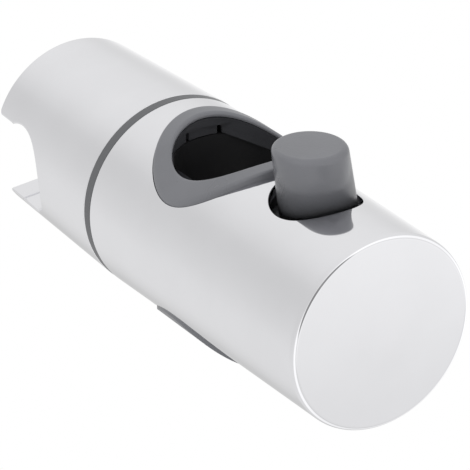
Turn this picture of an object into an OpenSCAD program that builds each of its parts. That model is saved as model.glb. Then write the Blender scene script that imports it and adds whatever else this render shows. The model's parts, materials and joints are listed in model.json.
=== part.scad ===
// Shower rail slider: a swivelling handset holder that clamps on a riser rail.
// X runs along the barrel towards its closed end, Y along the rail, Z up.
// The origin is where the rail's axis crosses the barrel's axis. Sizes in millimetres.

/* [Barrel] */
// Diameter lost from the grey ring to the open rear end, for the mould
rear_draft = 2.5; // [2:0.1:3]
// Diameter lost from the grey ring to the closed front end, for the mould
front_draft = 1.7; // [1:0.1:2.4]
// Wall of both chromed shells
shell_wall = 2; // [1.6:0.1:2.4]
// Length of the rear shell
rear_len = 38.2; // [37:0.1:46]
// Width of the grey ring between the two shells
ring_w = 2.2; // [1.8:0.1:3]
// Free room between the chassis and the closed end
end_room = 7.4; // [2:0.1:30]
// Rounding of the closed front edge
front_edge_r = 0.8; // [0.4:0.1:1.2]
// Rounding of the rear rim
rear_edge_r = 0.6; // [0.3:0.1:1]

/* [Rail clamp] */
// Diameter of the riser rail
rail_d = 18; // [16:0.1:20]
// Radial clearance of the rail in its channel
rail_gap = 0.06; // [0.02:0.01:0.2]
// How far the rear end reaches past the rail's far side
rear_lap = 0.6; // [0.2:0.1:2]
// How far each lip of the mouth catches behind the rail
mouth_catch = 0.76; // [0.4:0.02:1.2]
// Wall round the rail channel
channel_wall = 2; // [1.5:0.1:2.5]
// Width of the brake shoe along the rail
shoe_w = 18; // [14:0.5:20]
// Height of the brake shoe across the rail
shoe_h = 11; // [9:0.5:11]
// Thickness of the shoe's flange behind the channel
shoe_flange_t = 2.5; // [2:0.1:3]
// Thickness of the rubber brake pad
pad_t = 1.2; // [0.8:0.1:1.6]
// Clearance round the shoe in its window
shoe_gap = 0.3; // [0.2:0.05:0.5]

/* [Swivel] */
// Turn of the front body away from square to the rail, as it stands
swivel_rest = 5.3; // [0:0.1:30]
// Turn from square to each end stop
swivel_limit = 90; // [60:5:110]
// Wall of the hub spigot between the spring's pocket and the friction ring's groove
spigot_wall = 2.1; // [1.6:0.1:3]
// Radial running clearance of the spigot, the pull rod and the button's stem
running_gap = 0.06; // [0.02:0.01:0.1]
// Thickness of the hub flange
hub_flange_t = 4; // [3.8:0.1:5]
// Thickness of the chassis bulkhead
bulkhead_t = 2.8; // [2.6:0.1:3.4]
// Section diameter of the friction ring in the spigot groove
oring_d = 1.5; // [1.2:0.1:1.8]
// Thickness of the thrust washer
washer_t = 0.6; // [0.5:0.1:0.8]
// Thickness of the retaining clip
clip_t = 0.8; // [0.6:0.1:1]
// End play between flat faces that turn or slide on each other
end_play = 0.1; // [0.05:0.01:0.15]

/* [Screws] */
// Thread diameter of all screws
screw_d = 2.9; // [2.5:0.1:3.2]
// Head diameter
screw_head_d = 5.2; // [4.8:0.1:5.6]
// Head height
screw_head_h = 1.7; // [1.4:0.1:2]
// Length under the head of the two hub screws
hub_screw_len = 12; // [10:0.5:14]
// Length under the head of the four chassis screws
chassis_screw_len = 7; // [6:0.5:9]

/* [Handset socket] */
// Diameter of the opening at its top edge
opening_d = 24.8; // [22:0.1:27]
// Width of the grey rim round the opening
rim_w = 3.65; // [3:0.05:5]
// How much tighter than the barrel the rim's saddle is curved
saddle_less = 1.1; // [0.2:0.1:1.4]
// How far the rim stands above the barrel along the top
rim_proud = 1.2; // [0.6:0.1:1.6]
// Rounding of the opening's lip
lip_r = 1; // [0.6:0.1:1.2]
// Rounding of the rim's outer edge
rim_edge_r = 0.5; // [0.3:0.1:0.8]
// Depth under the saddle where the dark sleeve ends
sleeve_depth = 4.6; // [4:0.1:5.4]
// Wall of the dark sleeve
sleeve_wall = 1.2; // [0.9:0.1:1.4]
// Number of catch tabs in the sleeve's lower edge
tab_count = 4; // [2:1:5]
// Angle that a catch tab takes up between its two slits
tab_angle = 34; // [20:1:50]
// Turn of the first catch tab from the barrel's direction
tab_turn = 2; // [0:1:45]
// Width of a slit beside a catch tab
slit_w = 0.9; // [0.6:0.1:1.4]
// Height of a slit
slit_h = 1.7; // [1:0.1:2.4]
// How far the black cone stands inside the sleeve
cone_step = -0.2; // [-0.4:0.05:0]
// Diameter that the black cone loses on its way down
cone_taper = 2.8; // [2:0.1:3.6]
// Wall of the black cone
cone_wall = 1.3; // [1:0.1:1.6]
// Clearance of the rim and collar in the chromed shell
rim_gap = 0.1; // [0.05:0.01:0.2]

/* [Push button] */
// Width of the chromed bridge between the socket and the button's hole
button_bridge = 1.9; // [1:0.05:6]
// Diameter of the hole in the shell
button_hole_d = 17; // [15:0.1:19]
// Clearance of the knob in the hole at its base
knob_gap = 1.15; // [0.6:0.05:2]
// Diameter that the knob loses to its top
knob_draft = 0.6; // [0.2:0.1:1.6]
// Height of the knob above the shell
knob_h = 8.8; // [7:0.1:12]
// How far the knob's top leans back towards the socket
knob_lean = 2.2; // [0:0.1:2.4]
// Rounding of the knob's top edge
knob_edge_r = 0.9; // [0.5:0.1:1.6]
// Travel of the button
button_travel = 4; // [3:0.1:4.6]
// How far the flange that keeps the button in reaches past the hole
flange_lap = 1.1; // [0.8:0.1:1.6]
// Thickness of that flange
button_flange_t = 1.8; // [1.4:0.1:2.2]
// Free height between the flange and the shell above it
flange_gap = 0.5; // [0.2:0.05:1]
// Wall of the button's stem
stem_wall = 1.3; // [1:0.1:1.6]

/* [Release linkage] */
// Forward travel of the yoke for each millimetre of button travel
cam_ratio = 0.35; // [0.3:0.01:0.4]
// How far the cam stands in front of the stem, at the barrel's axis
cam_ahead = 0.6; // [0.3:0.1:1.5]
// Width of the cam fin on the button
cam_w = 7; // [5:0.5:8]
// Height of the yoke's arms
yoke_h = 7.2; // [6:0.1:9]
// Thickness of the yoke's arms
yoke_arm_t = 2.4; // [2:0.1:3.2]
// Room between the yoke's arms and the socket
yoke_side_gap = 0.4; // [0.3:0.05:1]
// Room between the yoke's corners and the shell
yoke_shell_gap = 0.45; // [0.3:0.05:1]
// Thickness of the yoke's rear bar
yoke_bar_t = 2.4; // [2:0.1:3]
// Diameter of the pull rod
rod_d = 4; // [3.4:0.1:4.6]
// How far the pull rod's head reaches past the rod
rod_head_lap = 1.6; // [1.2:0.1:2]
// Thickness of the pull rod's head
rod_head_t = 1.2; // [1:0.1:1.5]

/* [Springs] */
// Mean diameter of the brake spring
brake_coil_d = 8.8; // [8:0.1:10.4]
// Wire diameter of the brake spring
brake_wire_d = 1; // [0.8:0.1:1.2]
// Turns of the brake spring
brake_turns = 7; // [5:1:9]
// Mean diameter of the button spring
button_coil_d = 4.3; // [3.6:0.1:5]
// Wire diameter of the button spring
button_wire_d = 0.7; // [0.5:0.1:0.8]
// Turns of the button spring
button_turns = 10; // [7:1:12]

/* [Hidden] */

// A little extra for cuts, so that no two faces coincide
past = 1;
round_fn = 120;

// Hub from the inside out: spring pocket, spigot, stop groove, screw heads
coil_gap = 0.5;
screw_clear = 0.3;
hub_land = 0.4;
hub_rim_t = 0.65;
stop_lug_d = 1.2;
stop_gap = 0.1;
stop_depth = 1.4;
pocket_r = (brake_coil_d + brake_wire_d) / 2 + coil_gap;
spigot_r = pocket_r + spigot_wall + oring_d;
stop_groove_w = stop_lug_d + 2 * stop_gap;
stop_ring_r = spigot_r + hub_land + stop_groove_w / 2;
screw_sink_r = screw_head_d / 2 + screw_clear;
hub_min_r = stop_ring_r + stop_groove_w / 2 + hub_land + 2 * screw_sink_r + hub_rim_t;

// Socket from the inside out: opening, cone, yoke arms, shell
opening_r = opening_d / 2;
socket_d = opening_d + 2 * rim_w;
cone_top_r = opening_r + cone_step;
cone_low_r = cone_top_r - cone_taper / 2;
yoke_in_w = 2 * (cone_top_r + cone_wall + yoke_side_gap);
yoke_out_w = yoke_in_w + 2 * yoke_arm_t;
yoke_corner_r = norm([yoke_out_w / 2, yoke_h / 2]);

// The barrel is as thick as what it has to hold, rounded up to a whole millimetre
barrel_d = ceil(2 * (shell_wall + max(yoke_corner_r + yoke_shell_gap + front_draft / 2,
    hub_min_r + rim_gap + rear_draft / 2 * hub_flange_t / rear_len)));

// Rail channel
rail_r = rail_d / 2 + rail_gap;
rear_reach = rail_d / 2 + rear_lap;
mouth_w = 2 * (rail_r - mouth_catch);
end_wall_x = shell_wall - rear_reach;
channel_back_x = rail_r + channel_wall + 1;
channel_rim = 3;
window_w = shoe_w + 2 * shoe_gap;
window_h = shoe_h + 2 * shoe_gap;
shoe_relief = 0.3;
pad_inset = 0.7;
shoe_flange_x = channel_back_x + end_play;
shoe_back_x = shoe_flange_x + shoe_flange_t;
shoe_flange_lap = 2;
shoe_boss_d = brake_coil_d - brake_wire_d - 2 * coil_gap;
shoe_boss_l = 2.4;
press_gap = 0.02;

// Hub and what turns on it
ring_x = rear_len - rear_reach;
front_x = ring_x + ring_w;
hub_x = ring_x - hub_flange_t;
hub_r = rear_inner_r(hub_x) - rim_gap;
hub_screw_r = hub_r - hub_rim_t - screw_sink_r;
bulkhead_x = ring_x + 2 * end_play;
bulkhead_end_x = bulkhead_x + bulkhead_t;
washer_x = bulkhead_end_x + end_play;
clip_x = washer_x + washer_t + end_play;
clip_groove_play = 0.05;
clip_groove_depth = 0.9;
clip_reach = 1.8;
clip_gap_deg = 50;
spigot_end_x = clip_x + clip_t + 0.7;
spigot_floor_t = 3;
pocket_end_x = spigot_end_x - spigot_floor_t;
oring_x = bulkhead_x + bulkhead_t / 2;
groove_side_play = 0.05;
boss_r = 3;
boss_web_w = 5;
hub_seat_t = 1.8;
ring_in_r = barrel_d / 2 - shell_wall - 0.5;
ring_inset = 0.05;

// Yoke and rod
slide_gap = 0.3;
yoke_travel = cam_ratio * button_travel;
yoke_x = spigot_end_x + 0.6;
rod_head_x = yoke_x + yoke_bar_t + end_play;
rod_tip_x = channel_back_x - 0.6;
rod_slot_gap = 0.2;
rod_end_x = rod_head_x + rod_head_t + yoke_travel;

// The socket clears the pulled rod, and the button clears the socket
socket_x = rod_end_x + cone_top_r + cone_wall;
button_x = socket_x + socket_d / 2 + button_bridge + button_hole_d / 2;
stem_bore_d = button_coil_d + button_wire_d + 0.4;
stem_d = stem_bore_d + 2 * stem_wall;
cam_x = button_x + stem_d / 2 + cam_ahead;
yoke_cam_x = cam_x + end_play;
yoke_nose_t = 2.4;
yoke_end_x = yoke_cam_x + cam_ratio * yoke_h / 2 + yoke_nose_t;

// Chassis
guide_h = 3;
guide_t = 1.5;
guide_y = yoke_in_w / 2;
guide_top_z = yoke_h / 2 + slide_gap + guide_h;
cheek_x = yoke_end_x + yoke_travel + 0.6;
cheek_t = 1.6;
chassis_end_x = cheek_x + cheek_t;
end_x = chassis_end_x + end_room + shell_wall;
front_len = end_x - front_x;
chassis_disc_r = barrel_d / 2 - shell_wall - 0.2;
chassis_in_r = front_r(chassis_end_x) - shell_wall - 0.2;
chassis_seat_t = bulkhead_t - screw_head_h - 0.1;
chassis_screw_r = chassis_disc_r - screw_sink_r - 0.3;
chassis_boss_x = bulkhead_end_x + 0.02;
chassis_boss_l = chassis_screw_len - chassis_seat_t + 0.8;
boss_floor_t = 0.5;
boss_bore_r = chassis_screw_r - boss_r + 0.4;
washer_r = boss_bore_r - slide_gap;
deck_x = socket_x + socket_d / 2 + 0.6;
deck_lap = 1;
deck_t = 1.9;
tower_wall = 1.74;
tower_r = stem_d / 2 + running_gap + tower_wall;
tower_top_z = -yoke_h / 2 - 1.4;
tower_low_z = -(front_r(button_x) - shell_wall - 1.5);
tower_floor_t = 1.5;
spring_floor_z = tower_low_z + tower_floor_t;

// Socket: the saddle is a cylinder along the barrel, raised to stand proud
saddle_r = barrel_d / 2 - saddle_less;
saddle_lift = front_r(socket_x) + rim_proud - saddle_r;
rim_foot_z = guide_top_z + 1.1;
lip_end = lip_r + 0.3;
sleeve_seam = 0.15;
sleeve_clear = 0.05;
cone_gap = 0.1;
rim_steps = 72;
lip_steps = 5;
edge_steps = 3;

// Button
knob_base_d = button_hole_d - 2 * knob_gap;
knob_top_d = knob_base_d - knob_draft;
button_flange_d = button_hole_d + 2 * flange_lap;
button_top_z = front_r(button_x);
button_inner_r = button_top_z - shell_wall;
flange_top_z = sqrt(pow(button_inner_r, 2) - pow(button_flange_d / 2, 2)) - flange_gap;
flange_low_z = flange_top_z - button_flange_t;
knob_root_z = button_top_z - 1;
stem_low_z = spring_floor_z + button_travel + 0.4;
stem_bore_top_z = 5;
knob_offset = 0.15;
lean_slope = knob_lean / knob_h;
fin_top_z = flange_low_z + past / 2;

// Springs as swept tubes
wire_sides = 8;
turn_steps = 16;

// Outer and inner radii of the two drafted shells at a place along the barrel
function rear_r(x) = barrel_d / 2 - rear_draft / 2 * (ring_x - x) / rear_len;
function rear_inner_r(x) = rear_r(x) - shell_wall;
function front_r(x) = barrel_d / 2 - front_draft / 2 * (x - front_x) / front_len;

// Height of the socket rim's saddle at a distance y from the barrel's middle
function saddle_z(y) = sqrt(saddle_r * saddle_r - y * y) + saddle_lift;

// Inner radius of the handset cone at a height
function cone_r(z) = cone_low_r
    + cone_taper / 2 * (z + front_r(socket_x)) / (2 * front_r(socket_x) - sleeve_depth);

// Stands a shape that was made along Z on the barrel's axis, from x forwards
module along_x(x) {
    translate([x, 0, 0]) rotate([0, 90, 0]) children();
}

// Turns a piece of the front body to where it stands
module turned() {
    rotate([-swivel_rest, 0, 0]) children();
}

// A drafted barrel along Z with a rounded far edge
module drafted_barrel(len, r_start, r_end, edge) {
    rotate_extrude($fn = round_fn) {
        polygon([[0, 0], [r_start, 0], [r_end, len - edge], [r_end - edge, len], [0, len]]);
        intersection() {
            translate([r_end - edge, len - edge]) circle(edge, $fn = 48);
            square([r_end, len]);
        }
    }
}

// A ring along the barrel's axis
module ring(x, len, r_out, r_in) {
    along_x(x) difference() {
        cylinder(h = len, r = r_out, $fn = round_fn);
        translate([0, 0, -past]) cylinder(h = len + 2 * past, r = r_in, $fn = round_fn);
    }
}

// A cylinder along the rail's direction, through the whole barrel
module rail_bar(r) {
    rotate([90, 0, 0]) cylinder(h = barrel_d + 2 * past, r = r, center = true, $fn = round_fn);
}

// A bar centred on the barrel's axis between two places along it
module bar(x0, x1, w, h) {
    translate([x0, -w / 2, -h / 2]) cube([x1 - x0, w, h]);
}

// The two places of the hub screws, above and below the axis
module at_hub_screws() {
    for (turn = [0, 180]) rotate([turn, 0, 0]) translate([0, 0, hub_screw_r]) children();
}

// The four places of the chassis screws, between the yoke and the socket
module at_chassis_screws() {
    for (turn = [45 : 90 : 315]) rotate([turn, 0, 0]) translate([0, 0, chassis_screw_r]) children();
}

// A pan-head screw along X with its seat at x, pointing back or on
module screw(x, len, way) {
    along_x(way > 0 ? x : x - len) cylinder(h = len, r = screw_d / 2, $fn = 32);
    difference() {
        along_x(way > 0 ? x - screw_head_h : x)
            cylinder(h = screw_head_h, r = screw_head_d / 2, $fn = 48);
        for (turn = [0, 90]) translate([x - way * screw_head_h, 0, 0]) rotate([turn, 0, 0])
            bar(-screw_head_h / 2, screw_head_h / 2, screw_head_d * 0.6, screw_head_d * 0.16);
    }
}

// A round pillar joined to the barrel's wall by a flat web
module screw_boss(x, len) {
    along_x(x) cylinder(h = len, r = boss_r, $fn = 48);
    translate([x, -boss_web_w / 2, 0]) cube([len, boss_web_w, barrel_d / 2]);
}

// A coil spring along Z: a wire of wire_sides sides swept round the turns, with flat ends
module coil(len, mean_d, wire_d, turns) {
    steps = turns * turn_steps;
    rise = len - wire_d;
    points = [for (i = [0 : steps]) for (j = [0 : wire_sides - 1])
        let (a = 360 * i / turn_steps, b = 360 * j / wire_sides,
             r = mean_d / 2 + wire_d / 2 * cos(b))
        [r * cos(a), r * sin(a), wire_d / 2 + rise * i / steps + wire_d / 2 * sin(b)]];
    sides = [for (i = [0 : steps - 1]) for (j = [0 : wire_sides - 1])
        let (k = (j + 1) % wire_sides, p = i * wire_sides, q = p + wire_sides)
        [p + j, q + j, q + k, p + k]];
    first_cap = [[for (j = [0 : wire_sides - 1]) j]];
    last_cap = [[for (j = [wire_sides - 1 : -1 : 0]) steps * wire_sides + j]];
    polyhedron(points, concat(sides, first_cap, last_cap), convexity = 10);
}

// Rear body: the shell that snaps over the rail

module rear_barrel() {
    translate([ring_x, 0, 0]) mirror([1, 0, 0])
        along_x(0) drafted_barrel(rear_len, barrel_d / 2, rear_r(-rear_reach), rear_edge_r);
}

module rear_cavity() {
    along_x(end_wall_x) cylinder(h = ring_x - end_wall_x + past,
        r1 = rear_inner_r(end_wall_x), r2 = rear_inner_r(ring_x + past), $fn = round_fn);
}

module rail_channel() {
    rail_bar(rail_r + channel_wall);
    bar(-rear_reach, 0, barrel_d, mouth_w + 2 * channel_wall);
    bar(0, channel_back_x, window_w + 2 * channel_rim, window_h + 2 * channel_rim);
}

module rear_shell() {
    color("gainsboro") difference() {
        union() {
            difference() {
                rear_barrel();
                rear_cavity();
            }
            intersection() {
                rear_barrel();
                rail_channel();
            }
            intersection() {
                rear_barrel();
                at_hub_screws() screw_boss(end_wall_x - past, hub_x - end_wall_x + past);
            }
        }
        rail_bar(rail_r);
        bar(-rear_reach - past, 0, barrel_d + 2 * past, mouth_w);
        bar(0, channel_back_x + past, window_w, window_h);
        at_hub_screws() along_x(hub_x - hub_screw_len)
            cylinder(h = hub_screw_len + past, r = screw_d / 2 + press_gap, $fn = 32);
    }
}

// The shoe slides in the channel's window and bears on the rail through its pad
module brake_shoe() {
    color("whitesmoke") difference() {
        union() {
            bar(0, shoe_back_x, shoe_w, shoe_h);
            bar(shoe_flange_x, shoe_back_x, shoe_w + 2 * shoe_flange_lap, shoe_h + 2 * shoe_flange_lap);
            along_x(shoe_back_x - past)
                cylinder(h = shoe_boss_l + past, r = shoe_boss_d / 2, $fn = 48);
        }
        rail_bar(rail_r + shoe_relief);
        pad_pocket(0);
        along_x(rod_tip_x - past) cylinder(h = shoe_back_x, r = rod_d / 2 + press_gap, $fn = 48);
    }
}

module pad_pocket(gap) {
    intersection() {
        difference() {
            rail_bar(rail_r + pad_t - gap);
            rail_bar(rail_r);
        }
        bar(0, rail_d, shoe_w - 2 * pad_inset - 2 * gap, shoe_h - 2 * pad_inset - 2 * gap);
    }
}

module brake_pad() {
    color("dimgray") pad_pocket(press_gap);
}

module brake_spring() {
    color("silver") along_x(shoe_back_x + press_gap)
        coil(pocket_end_x - shoe_back_x - 2 * press_gap, brake_coil_d, brake_wire_d, brake_turns);
}

module pull_rod() {
    color("silver") {
        along_x(rod_tip_x) cylinder(h = rod_head_x - rod_tip_x + past / 2, r = rod_d / 2, $fn = 48);
        along_x(rod_head_x) cylinder(h = rod_head_t, r = rod_d / 2 + rod_head_lap, $fn = 48);
    }
}

// The hub closes the rear shell; the front body turns on its spigot
module swivel_hub() {
    color("darkslategray") difference() {
        union() {
            along_x(hub_x) cylinder(h = hub_flange_t, r = hub_r, $fn = round_fn);
            along_x(ring_x - past) cylinder(h = spigot_end_x - ring_x + past, r = spigot_r,
                $fn = round_fn);
        }
        along_x(hub_x - past) cylinder(h = pocket_end_x - hub_x + past, r = pocket_r, $fn = 64);
        along_x(hub_x) cylinder(h = spigot_end_x - hub_x + past, r = rod_d / 2 + running_gap, $fn = 48);
        ring(oring_x - oring_d / 2 - groove_side_play, oring_d + 2 * groove_side_play,
            spigot_r + past, spigot_r - oring_d);
        ring(clip_x - clip_groove_play, clip_t + 2 * clip_groove_play,
            spigot_r + past, spigot_r - clip_groove_depth);
        at_hub_screws() along_x(hub_x - past)
            cylinder(h = hub_flange_t + 2 * past, r = screw_d / 2 + screw_clear, $fn = 32);
        at_hub_screws() along_x(hub_x + hub_seat_t)
            cylinder(h = hub_flange_t, r = screw_sink_r, $fn = 48);
        stop_groove();
    }
}

// An arc groove in the flange's front, which the chassis lug runs along
module stop_groove() {
    half = swivel_limit + asin((stop_lug_d / 2 + stop_gap) / stop_ring_r);
    translate([ring_x - stop_depth, 0, 0]) rotate([0, 90, 0]) rotate([0, 0, -half])
        rotate_extrude(angle = 2 * half, $fn = round_fn)
            translate([stop_ring_r - stop_groove_w / 2, 0]) square([stop_groove_w, stop_depth + past]);
}

module hub_screws() {
    color("silver") at_hub_screws() screw(hub_x + hub_seat_t, hub_screw_len, -1);
}

module swivel_ring() {
    color("dimgray") ring(ring_x, ring_w - end_play, barrel_d / 2 - ring_inset, ring_in_r);
}

module friction_oring() {
    color("black") along_x(oring_x) rotate_extrude($fn = round_fn)
        translate([spigot_r - oring_d / 2, 0]) circle(oring_d / 2, $fn = 32);
}

module thrust_washer() {
    color("ivory") ring(washer_x, washer_t, washer_r, spigot_r + 0.15);
}

module retaining_clip() {
    color("silver") difference() {
        ring(clip_x, clip_t, spigot_r + clip_reach, spigot_r - clip_groove_depth + 0.05);
        along_x(clip_x - past) rotate([0, 0, -clip_gap_deg / 2])
            rotate_extrude(angle = clip_gap_deg, $fn = round_fn)
                square([2 * spigot_r, clip_t + 2 * past]);
    }
}

// Front body: the shell, the chassis inside it and the handset socket

module front_barrel() {
    along_x(front_x) drafted_barrel(front_len, barrel_d / 2, front_r(end_x), front_edge_r);
}

module front_shell() {
    color("gainsboro") turned() difference() {
        union() {
            difference() {
                front_barrel();
                along_x(front_x - past) cylinder(h = front_len - shell_wall + past,
                    r1 = front_r(front_x - past) - shell_wall,
                    r2 = front_r(end_x - shell_wall) - shell_wall, $fn = round_fn);
            }
            intersection() {
                front_barrel();
                at_chassis_screws() screw_boss(chassis_boss_x, chassis_boss_l);
            }
        }
        along_x(chassis_boss_x - past)
            cylinder(h = chassis_boss_l + 2 * past, r = boss_bore_r, $fn = round_fn);
        at_chassis_screws() along_x(chassis_boss_x - past)
            cylinder(h = chassis_boss_l - boss_floor_t + past, r = screw_d / 2 + press_gap, $fn = 32);
        for (side = [0, 180]) rotate([side, 0, 0]) translate([socket_x, 0, rim_foot_z - past])
            cylinder(h = barrel_d, r = socket_d / 2 + rim_gap, $fn = round_fn);
        translate([button_x, 0, 0]) cylinder(h = barrel_d, r = button_hole_d / 2, $fn = 96);
    }
}

// The slides above and below the yoke's arms, joined in front by two cheeks
module guide_slides() {
    for (side = [0, 1]) mirror([0, side, 0]) {
        for (level = [0, 1]) mirror([0, 0, level])
            translate([bulkhead_end_x - past, guide_y, guide_top_z - guide_h])
                cube([chassis_end_x - bulkhead_end_x + past, guide_t, guide_h]);
        translate([cheek_x, guide_y, -guide_top_z]) cube([cheek_t, guide_t, 2 * guide_top_z]);
    }
}

module front_chassis() {
    color("slategray") turned() difference() {
        union() {
            along_x(bulkhead_x) cylinder(h = bulkhead_t, r = ring_in_r - slide_gap, $fn = round_fn);
            along_x(front_x + end_play)
                cylinder(h = bulkhead_end_x - front_x - end_play, r = chassis_disc_r, $fn = round_fn);
            along_x(bulkhead_x - stop_depth / 2 - end_play) translate([stop_ring_r, 0, 0])
                cylinder(h = stop_depth, r = stop_lug_d / 2, $fn = 32);
            intersection() {
                along_x(bulkhead_x) cylinder(h = end_x, r = chassis_in_r, $fn = round_fn);
                guide_slides();
            }
            translate([deck_x, -guide_y - deck_lap, -guide_top_z - deck_t + 0.4])
                cube([chassis_end_x - deck_x, 2 * (guide_y + deck_lap), deck_t]);
            translate([button_x, 0, tower_low_z])
                cylinder(h = tower_top_z - tower_low_z, r = tower_r, $fn = 64);
        }
        along_x(bulkhead_x - past)
            cylinder(h = bulkhead_t + 2 * past, r = spigot_r + running_gap, $fn = round_fn);
        at_chassis_screws() along_x(bulkhead_x - past)
            cylinder(h = bulkhead_t + 2 * past, r = screw_d / 2 + screw_clear, $fn = 32);
        at_chassis_screws() along_x(bulkhead_x - past)
            cylinder(h = bulkhead_t + past - chassis_seat_t, r = screw_sink_r, $fn = 48);
        translate([button_x, 0, spring_floor_z])
            cylinder(h = barrel_d, r = stem_d / 2 + running_gap, $fn = 64);
    }
}

module chassis_screws() {
    color("silver") turned() at_chassis_screws()
        screw(bulkhead_end_x - chassis_seat_t, chassis_screw_len, 1);
}

// The grey rim and the sleeve under its lip are lofts: one closed profile carried round
// the opening and lifted onto the saddle. A saddle point is [radius, depth below the
// saddle], and a foot point is [radius, height].
rim_profile = concat(
    [for (i = [0 : edge_steps]) let (a = 90 * i / edge_steps)
        [socket_d / 2 - rim_edge_r + rim_edge_r * cos(a), rim_edge_r - rim_edge_r * sin(a)]],
    [for (i = [0 : lip_steps]) let (a = 90 * i / lip_steps)
        [opening_r + lip_r - lip_r * sin(a), lip_r - lip_r * cos(a)]],
    [[opening_r, lip_end], [opening_r + sleeve_wall + sleeve_clear, lip_end],
     [opening_r + sleeve_wall + sleeve_clear, sleeve_depth]]);
rim_foot = [[cone_r(rim_foot_z) + cone_wall + 0.5, rim_foot_z], [socket_d / 2, rim_foot_z]];
sleeve_profile = [
    [opening_r + sleeve_wall, lip_end + sleeve_seam], [opening_r, lip_end + sleeve_seam],
    [opening_r, sleeve_depth], [opening_r + sleeve_wall, sleeve_depth]];

function saddle_section(a, saddle_points, foot_points) = concat(
    [for (p = saddle_points) [p[0] * cos(a), p[0] * sin(a), saddle_z(p[0] * sin(a)) - p[1]]],
    [for (p = foot_points) [p[0] * cos(a), p[0] * sin(a), p[1]]]);

module saddle_loft(saddle_points, foot_points) {
    n = len(saddle_points) + len(foot_points);
    points = [for (i = [0 : rim_steps - 1])
        each saddle_section(360 * i / rim_steps, saddle_points, foot_points)];
    faces = [for (i = [0 : rim_steps - 1]) for (j = [0 : n - 1])
        let (p = i * n, q = ((i + 1) % rim_steps) * n, k = (j + 1) % n)
        each [[p + j, p + k, q + k], [p + j, q + k, q + j]]];
    polyhedron(points, faces, convexity = 6);
}

module socket_rim() {
    color("gray") turned() translate([socket_x, 0, 0]) saddle_loft(rim_profile, rim_foot);
}

module socket_sleeve() {
    color("dimgray") turned() translate([socket_x, 0, 0]) difference() {
        saddle_loft(sleeve_profile, []);
        for (i = [0 : tab_count - 1]) for (side = [-1, 1]) {
            a = tab_turn + 360 * i / tab_count + side * tab_angle / 2;
            foot_z = saddle_z(opening_r * sin(a)) - sleeve_depth;
            rotate([0, 0, a]) translate([opening_r - past, -slit_w / 2, foot_z - past])
                cube([sleeve_wall + 2 * past, slit_w, slit_h + past]);
        }
    }
}

// Everything below the saddle surface, dropped by a depth
module under_saddle(depth) {
    translate([-barrel_d, 0, saddle_lift - depth]) {
        rotate([0, 90, 0]) cylinder(h = 2 * barrel_d, r = saddle_r, $fn = round_fn);
        translate([0, -saddle_r, -2 * barrel_d]) cube([2 * barrel_d, 2 * saddle_r, 2 * barrel_d]);
    }
}

module handset_cone(grow) {
    z = front_r(socket_x);
    translate([0, 0, -z - past]) cylinder(h = 2 * z + 2 * past,
        r1 = cone_r(-z - past) + grow, r2 = cone_r(z + past) + grow, $fn = round_fn);
}

module socket_cone() {
    color("black") turned() translate([socket_x, 0, 0]) difference() {
        intersection() {
            handset_cone(cone_wall);
            under_saddle(sleeve_depth + cone_gap);
            mirror([0, 0, 1]) under_saddle(0.6);
        }
        handset_cone(0);
    }
}

module socket_collar() {
    color("gray") turned() translate([socket_x, 0, 0]) mirror([0, 0, 1]) difference() {
        intersection() {
            translate([0, 0, rim_foot_z]) cylinder(h = barrel_d, r = socket_d / 2, $fn = round_fn);
            under_saddle(0);
        }
        cylinder(h = barrel_d, r = cone_r(-rim_foot_z) + cone_wall + cone_gap, $fn = round_fn);
    }
}

// The push button: a knob that leans back, a flange, a stem and the cam fin

function knob_x(z) = knob_offset - lean_slope * (z - button_top_z);

module knob_disc(z, r) {
    translate([knob_x(z), 0, z - 0.02]) cylinder(h = 0.02, r = r, $fn = 64);
}

module knob() {
    top_z = button_top_z + knob_h;
    hull() {
        knob_disc(knob_root_z, knob_base_d / 2);
        knob_disc(top_z - knob_edge_r, knob_top_d / 2);
        for (a = [30, 60, 90])
            knob_disc(top_z - knob_edge_r + knob_edge_r * sin(a),
                knob_top_d / 2 - knob_edge_r + knob_edge_r * cos(a));
    }
}

module push_button() {
    color("gray") turned() translate([button_x, 0, 0]) difference() {
        union() {
            knob();
            translate([knob_x(knob_root_z), 0, flange_low_z])
                cylinder(h = knob_root_z - flange_low_z, r = knob_base_d / 2 - 0.1, $fn = 64);
            translate([0, 0, flange_low_z])
                cylinder(h = button_flange_t, r = button_flange_d / 2, $fn = 96);
            translate([0, 0, stem_low_z])
                cylinder(h = flange_low_z - stem_low_z + past, r = stem_d / 2, $fn = 64);
            rotate([90, 0, 0]) linear_extrude(cam_w, center = true)
                polygon([[0, 0], [cam_x - button_x, 0],
                         [cam_x - button_x + cam_ratio * fin_top_z, fin_top_z], [0, fin_top_z]]);
        }
        translate([0, 0, stem_low_z - past])
            cylinder(h = stem_bore_top_z - stem_low_z + past, r = stem_bore_d / 2, $fn = 48);
    }
}

module button_spring() {
    color("silver") turned() translate([button_x, 0, spring_floor_z + 0.02])
        coil(stem_bore_top_z - spring_floor_z - 0.04, button_coil_d, button_wire_d, button_turns);
}

// The yoke passes both sides of the socket and pulls the rod when the cam drives it
module release_yoke() {
    color("white") turned() difference() {
        intersection() {
            bar(yoke_x, yoke_end_x, yoke_out_w, yoke_h);
            along_x(yoke_x - past)
                cylinder(h = end_x, r = front_r(end_x) - shell_wall - yoke_shell_gap + 0.1, $fn = round_fn);
        }
        bar(yoke_x + yoke_bar_t, button_x, yoke_in_w, yoke_h + 2 * past);
        rotate([90, 0, 0]) linear_extrude(yoke_in_w, center = true) yoke_cam_outline();
        along_x(yoke_x - past)
            cylinder(h = yoke_bar_t + 2 * past, r = rod_d / 2 + rod_slot_gap, $fn = 48);
        translate([yoke_x - past, -rod_d / 2 - rod_slot_gap, -yoke_h])
            cube([yoke_bar_t + 2 * past, rod_d + 2 * rod_slot_gap, yoke_h]);
    }
}

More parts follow.
